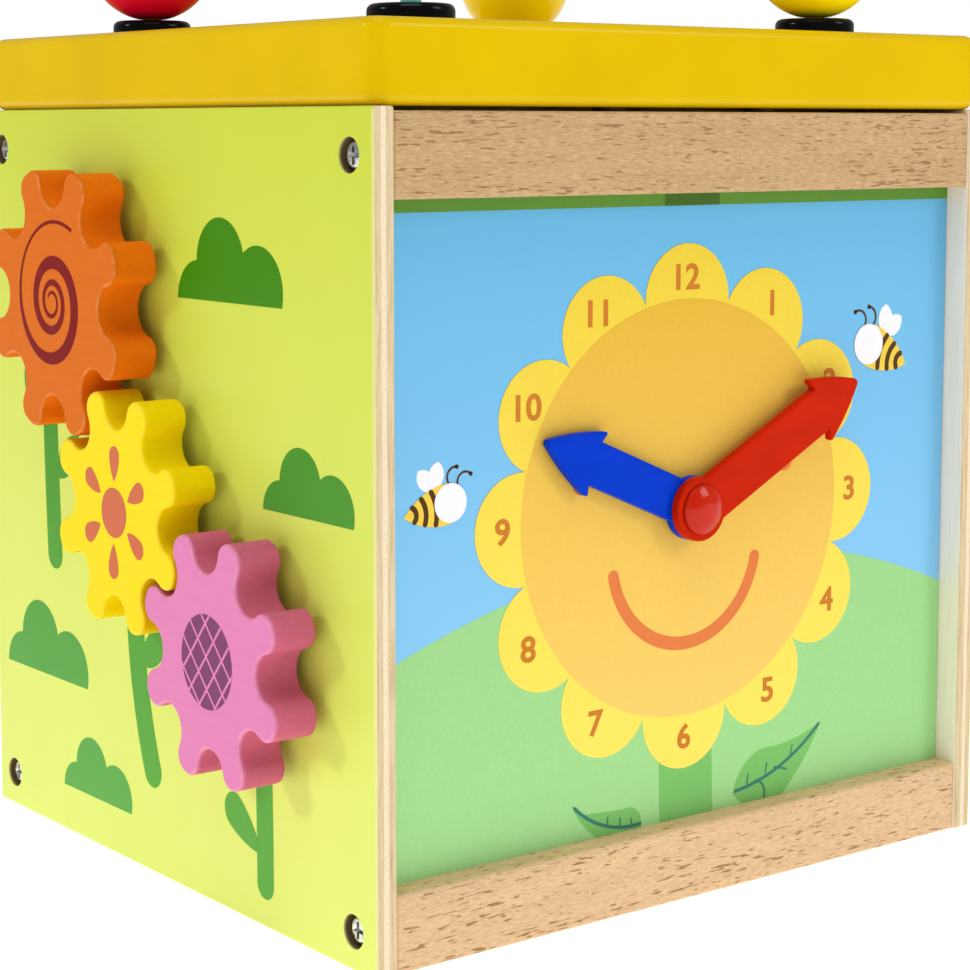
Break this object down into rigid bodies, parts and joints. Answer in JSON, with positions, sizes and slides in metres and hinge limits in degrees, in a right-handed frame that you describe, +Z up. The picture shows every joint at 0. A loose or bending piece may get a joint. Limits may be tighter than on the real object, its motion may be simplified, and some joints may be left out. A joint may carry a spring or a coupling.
{
  "type": "activity cube",
  "caption": "Wooden baby activity cube with a clock face, meshing wall gears, a bead maze on its lid, sliding knobs and turning tiles.",
  "frame": {"origin": "centre of the underside, on the face the cube rests on", "axes": "+Z up through the lid; -Y is the clock side, -X the gear side, +X the slider side, +Y the tile side"},
  "size_m": [0.2293, 0.1898, 0.3756],
  "materials": {
    "printed_panel": "printed three-ply plywood, satin varnish",
    "beech": "clear satin varnished beech",
    "printed_board": "printed board, satin varnish",
    "plain_board": "plain plywood",
    "yellow_paint": "gloss paint on wood",
    "orange_paint": "satin paint on wood",
    "pink_paint": "satin paint on wood",
    "red_paint": "gloss paint on wood",
    "green_paint": "gloss paint on wood",
    "blue_paint": "gloss paint on wood",
    "purple_paint": "gloss paint on wood",
    "white_paint": "satin paint on wood",
    "dowel_wood": "bare birch dowel",
    "teal_sleeve": "steel wire in a smooth plastic sleeve",
    "orange_sleeve": "steel wire in a smooth plastic sleeve",
    "black_plastic": "moulded gloss plastic",
    "red_plastic": "moulded gloss plastic",
    "blue_plastic": "moulded gloss plastic",
    "screw_steel": "zinc-plated steel"
  },
  "bodies": {
    "root": {"left_panel": "printed_panel", "right_panel": "printed_panel", "front_top_rail": "beech", "front_bottom_rail": "beech", "back_top_rail": "beech", "back_bottom_rail": "beech", "clock_board": "printed_board", "back_board": "plain_board", "base_board": "plain_board", "lid": "yellow_paint", "lid_dowels": "dowel_wood", "left_panel_screws": "screw_steel", "right_panel_screws": "screw_steel", "gear_spacers": "dowel_wood", "clock_pin": "red_plastic", "clock_washer": "black_plastic", "clock_nut": "screw_steel", "teal_wire": "teal_sleeve", "orange_wire": "orange_sleeve", "wire_grommets": "black_plastic", "tile_spacers": "dowel_wood", "lower_tile_rod": "dowel_wood", "upper_tile_rod": "dowel_wood"},
    "orange_gear_set": {"orange_gear": "orange_paint", "orange_gear_axle": "dowel_wood", "orange_gear_collar": "dowel_wood"},
    "yellow_gear_set": {"yellow_gear": "yellow_paint", "yellow_gear_axle": "dowel_wood", "yellow_gear_collar": "dowel_wood"},
    "pink_gear_set": {"pink_gear": "pink_paint", "pink_gear_axle": "dowel_wood", "pink_gear_collar": "dowel_wood"},
    "hour_hand_arm": {"hour_hand": "blue_plastic"},
    "minute_hand_arm": {"minute_hand": "red_plastic"},
    "red_bead_ball": {"red_bead": "red_paint"},
    "yellow_bead_ball": {"yellow_bead": "yellow_paint"},
    "far_yellow_bead_ball": {"far_yellow_bead": "yellow_paint"},
    "green_bead_ball": {"green_bead": "green_paint"},
    "blue_bead_ball": {"blue_bead": "blue_paint"},
    "purple_bead_ball": {"purple_bead": "purple_paint"},
    "low_slider": {"low_slider_knob": "red_paint", "low_slider_stem": "dowel_wood"},
    "middle_slider": {"middle_slider_knob": "blue_paint", "middle_slider_stem": "dowel_wood"},
    "high_slider": {"high_slider_knob": "green_paint", "high_slider_stem": "dowel_wood"},
    "lower_tile_1_block": {"lower_tile_1": "white_paint"},
    "lower_tile_2_block": {"lower_tile_2": "white_paint"},
    "lower_tile_3_block": {"lower_tile_3": "white_paint"},
    "upper_tile_1_block": {"upper_tile_1": "white_paint"},
    "upper_tile_2_block": {"upper_tile_2": "white_paint"},
    "upper_tile_3_block": {"upper_tile_3": "white_paint"}
  },
  "joints": [
    {"name": "orange_gear_turn", "type": "hinge", "parent": "root", "child": "orange_gear_set", "pos_m": [-0.109, 0.0281, 0.1477], "axis": [-1, 0, 0], "continuous": true},
    {"name": "yellow_gear_turn", "type": "hinge", "parent": "root", "child": "yellow_gear_set", "pos_m": [-0.109, -0.00302, 0.09711], "axis": [-1, 0, 0], "continuous": true},
    {"name": "pink_gear_turn", "type": "hinge", "parent": "root", "child": "pink_gear_set", "pos_m": [-0.109, -0.04681, 0.06724], "axis": [-1, 0, 0], "continuous": true},
    {"name": "hour_hand_turn", "type": "hinge", "parent": "root", "child": "hour_hand_arm", "pos_m": [0, -0.08955, 0.0982], "axis": [0, 1, 0], "continuous": true},
    {"name": "minute_hand_turn", "type": "hinge", "parent": "root", "child": "minute_hand_arm", "pos_m": [0, -0.0919, 0.0982], "axis": [0, 1, 0], "continuous": true},
    {"name": "red_bead_slide", "type": "slide", "parent": "root", "child": "red_bead_ball", "axis": [0, 0, 1], "range_m": [0, 0.065]},
    {"name": "yellow_bead_slide", "type": "slide", "parent": "root", "child": "yellow_bead_ball", "axis": [0, 0, 1], "range_m": [0, 0.065]},
    {"name": "far_yellow_bead_slide", "type": "slide", "parent": "root", "child": "far_yellow_bead_ball", "axis": [0, 0, 1], "range_m": [0, 0.039]},
    {"name": "green_bead_slide", "type": "slide", "parent": "root", "child": "green_bead_ball", "axis": [0.7482, -0.6635, 0], "range_m": [-0.011, 0.0075]},
    {"name": "blue_bead_slide", "type": "slide", "parent": "root", "child": "blue_bead_ball", "axis": [0.7482, -0.6635, 0], "range_m": [-0.0075, 0.011]},
    {"name": "purple_bead_swing", "type": "hinge", "parent": "root", "child": "purple_bead_ball", "pos_m": [-0.00125, 0, 0.2946], "axis": [-0.7129, 0.7013, 0], "range_deg": [-70, 70]},
    {"name": "low_slider_slide", "type": "slide", "parent": "root", "child": "low_slider", "axis": [0, 1, 0], "range_m": [-0.02681, 0.08043]},
    {"name": "middle_slider_slide", "type": "slide", "parent": "root", "child": "middle_slider", "axis": [0, 1, 0], "range_m": [-0.09652, 0.01072]},
    {"name": "high_slider_slide", "type": "slide", "parent": "root", "child": "high_slider", "axis": [0, 1, 0], "range_m": [-0.05898, 0.04826]},
    {"name": "lower_tile_1_turn", "type": "hinge", "parent": "root", "child": "lower_tile_1_block", "pos_m": [-0.061, 0.0856, 0.05805], "axis": [1, 0, 0], "continuous": true},
    {"name": "lower_tile_2_turn", "type": "hinge", "parent": "root", "child": "lower_tile_2_block", "pos_m": [0, 0.0856, 0.05805], "axis": [1, 0, 0], "continuous": true},
    {"name": "lower_tile_3_turn", "type": "hinge", "parent": "root", "child": "lower_tile_3_block", "pos_m": [0.061, 0.0856, 0.05805], "axis": [1, 0, 0], "continuous": true},
    {"name": "upper_tile_1_turn", "type": "hinge", "parent": "root", "child": "upper_tile_1_block", "pos_m": [-0.061, 0.0856, 0.13695], "axis": [1, 0, 0], "continuous": true},
    {"name": "upper_tile_2_turn", "type": "hinge", "parent": "root", "child": "upper_tile_2_block", "pos_m": [0, 0.0856, 0.13695], "axis": [1, 0, 0], "continuous": true},
    {"name": "upper_tile_3_turn", "type": "hinge", "parent": "root", "child": "upper_tile_3_block", "pos_m": [0.061, 0.0856, 0.13695], "axis": [1, 0, 0], "continuous": true}
  ],
  "couplings": [
    {"joint": "yellow_gear_turn", "follows": "orange_gear_turn", "ratio": -1},
    {"joint": "pink_gear_turn", "follows": "orange_gear_turn", "ratio": 1}
  ]
}
